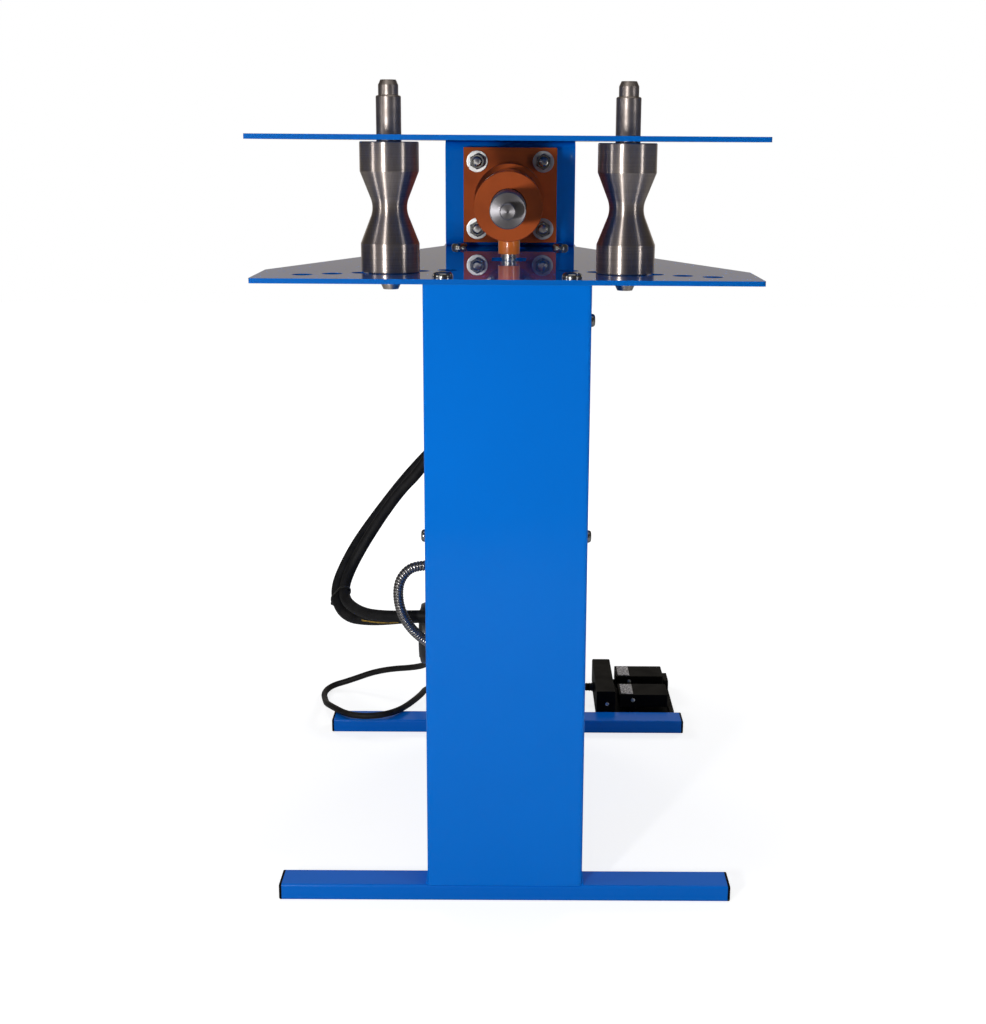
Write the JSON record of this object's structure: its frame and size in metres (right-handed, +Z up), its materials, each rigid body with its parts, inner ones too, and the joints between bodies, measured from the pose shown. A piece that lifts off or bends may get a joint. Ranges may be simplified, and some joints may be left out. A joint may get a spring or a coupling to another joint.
{
  "type": "hydraulic ram bar and pipe bender",
  "caption": "Floor-standing bender: a horizontal ram between two plates pushes bar or pipe against waisted rollers on lift-out pins, worked by a foot pedal.",
  "frame": {"origin": "on the floor, under the centre of the machine's box with its foot pedal, without the free hoses and cable", "axes": "+Z up, +X to the operator's right, +Y from the operator towards the back"},
  "size_m": [0.7279, 0.932, 1.1845],
  "materials": {
    "blue_paint": "gloss",
    "orange_paint": "gloss",
    "turned_steel": "turned",
    "zinc_steel": "zinc plated",
    "bronze": "machined",
    "black_plastic": "satin",
    "red_plastic": "gloss",
    "black_rubber": "matt",
    "grey_casting": "painted casting",
    "dark_casting": "satin",
    "dark_sheet": "satin",
    "grey_sheet": "satin"
  },
  "bodies": {
    "stand": {"front_foot": "blue_paint", "rear_foot": "blue_paint", "foot_end_caps": "black_plastic", "base_rails": "blue_paint", "column": "blue_paint", "column_back_cover": "blue_paint", "cover_screws": "zinc_steel", "rear_post": "blue_paint", "lower_plate": "blue_paint", "upper_plate": "blue_paint", "cylinder_bracket": "blue_paint", "lower_plate_screws": "zinc_steel", "bracket_bolts": "zinc_steel", "cylinder_flange": "orange_paint", "cylinder_barrel": "orange_paint", "gland_head": "orange_paint", "wiper_seal": "black_rubber", "guide_bush": "bronze", "port_bosses": "orange_paint", "port_nipples": "zinc_steel", "flange_washers": "zinc_steel", "flange_nuts": "zinc_steel", "flange_studs": "zinc_steel", "oil_tank": "blue_paint", "tank_lid": "blue_paint", "motor_housing": "grey_casting", "motor_fan_cover": "dark_sheet", "motor_terminal_box": "grey_casting", "pump_bellhousing": "grey_casting", "gear_pump": "grey_casting", "level_gauge": "black_plastic", "valve_block": "zinc_steel", "solenoid_valve": "dark_casting", "hydraulic_pipes": "zinc_steel", "hose_fittings": "zinc_steel", "front_port_hose": "black_rubber", "rear_port_hose": "black_rubber", "hose_tie": "black_plastic", "conduit_fittings": "zinc_steel", "motor_conduit": "zinc_steel", "cable_glands": "black_plastic", "pedal_cable": "black_rubber", "control_box": "grey_sheet", "control_box_lid": "grey_sheet", "junction_box": "black_plastic", "pedal_base": "black_plastic", "pedal_housing": "black_plastic", "pedal_hinge_pins": "zinc_steel"},
    "ram": {"ram_rod": "turned_steel", "piston": "turned_steel"},
    "left_roller_body": {"left_roller": "turned_steel"},
    "right_roller_body": {"right_roller": "turned_steel"},
    "left_pin_body": {"left_pin": "turned_steel"},
    "right_pin_body": {"right_pin": "turned_steel"},
    "front_treadle_body": {"front_treadle": "black_plastic"},
    "rear_treadle_body": {"rear_treadle": "black_plastic"},
    "switch_body": {"main_switch_knob": "black_plastic"},
    "stop_body": {"stop_button": "red_plastic"},
    "rotor": {"motor_shaft": "turned_steel"},
    "filler_body": {"filler_cap": "black_plastic"}
  },
  "joints": [
    {"name": "ram_slide", "type": "slide", "parent": "stand", "child": "ram", "axis": [0, -1, 0], "range_m": [-0.125, 0.05]},
    {"name": "left_roller_spin", "type": "hinge", "parent": "stand", "child": "left_roller_body", "pos_m": [-0.167, -0.348, 1.011], "axis": [0, 0, 1], "continuous": true},
    {"name": "left_pin_lift", "type": "slide", "parent": "stand", "child": "left_pin_body", "axis": [0, 0, 1], "range_m": [0, 0.23]},
    {"name": "right_roller_spin", "type": "hinge", "parent": "stand", "child": "right_roller_body", "pos_m": [0.167, -0.348, 1.011], "axis": [0, 0, 1], "continuous": true},
    {"name": "right_pin_lift", "type": "slide", "parent": "stand", "child": "right_pin_body", "axis": [0, 0, 1], "range_m": [0, 0.23]},
    {"name": "front_treadle_press", "type": "hinge", "parent": "stand", "child": "front_treadle_body", "pos_m": [0.2465, 0.317, 0.034], "axis": [0, 1, 0], "range_deg": [0, 6], "stiffness_Nm_per_rad": 6, "springref_deg": -4.58},
    {"name": "rear_treadle_press", "type": "hinge", "parent": "stand", "child": "rear_treadle_body", "pos_m": [0.2465, 0.423, 0.034], "axis": [0, 1, 0], "range_deg": [0, 6], "stiffness_Nm_per_rad": 6, "springref_deg": -4.58},
    {"name": "main_switch_turn", "type": "hinge", "parent": "stand", "child": "switch_body", "pos_m": [0.08, -0.252, 0.608], "axis": [1, 0, 0], "range_deg": [0, 90]},
    {"name": "stop_button_press", "type": "slide", "parent": "stand", "child": "stop_body", "axis": [-1, 0, 0], "range_m": [0, 0.004], "stiffness_N_per_m": 1500, "springref_m": -0.002},
    {"name": "motor_spin", "type": "hinge", "parent": "stand", "child": "rotor", "pos_m": [0, -0.016, 0.271], "axis": [1, 0, 0], "continuous": true},
    {"name": "filler_cap_turn", "type": "hinge", "parent": "stand", "child": "filler_body", "pos_m": [0.084, -0.128, 0.205], "axis": [0, 0, 1], "range_deg": [0, 90]}
  ]
}
